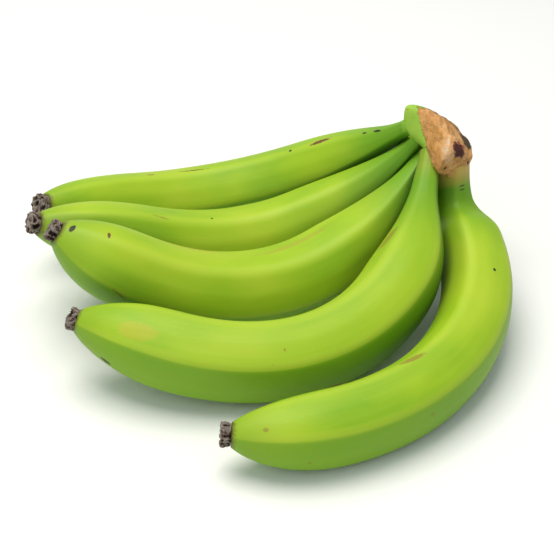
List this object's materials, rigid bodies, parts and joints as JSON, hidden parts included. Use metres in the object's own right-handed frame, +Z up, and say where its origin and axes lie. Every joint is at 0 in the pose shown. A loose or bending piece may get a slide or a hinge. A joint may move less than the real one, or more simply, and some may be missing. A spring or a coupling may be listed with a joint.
{
  "type": "hand of plantains",
  "caption": "Hand of curved, ribbed green plantain fingers joined at one cut crown, each tip with a dried blossom end; food that lies on a surface as one bunch.",
  "frame": {"origin": "on the surface the hand lies on, under the middle of its outline", "axes": "+Z up; the crown is on the +X side and high up, the back finger lies on the +Y side, the front fingers on the -Y side, and the tips point to -X"},
  "size_m": [0.2535, 0.2512, 0.0917],
  "materials": {
    "peel": "smooth waxy unripe peel, satin",
    "crown_tissue": "fibrous cut stalk tissue, matt",
    "dried_blossom": "dry, rough and knobby"
  },
  "bodies": {
    "root": {"crown": "crown_tissue", "finger_a": "peel", "finger_b": "peel", "finger_c": "peel", "finger_d": "peel", "finger_e": "peel", "blossom_end_a": "dried_blossom", "blossom_end_b": "dried_blossom", "blossom_end_c": "dried_blossom", "blossom_end_d": "dried_blossom", "blossom_end_e": "dried_blossom"}
  },
  "joints": []
}
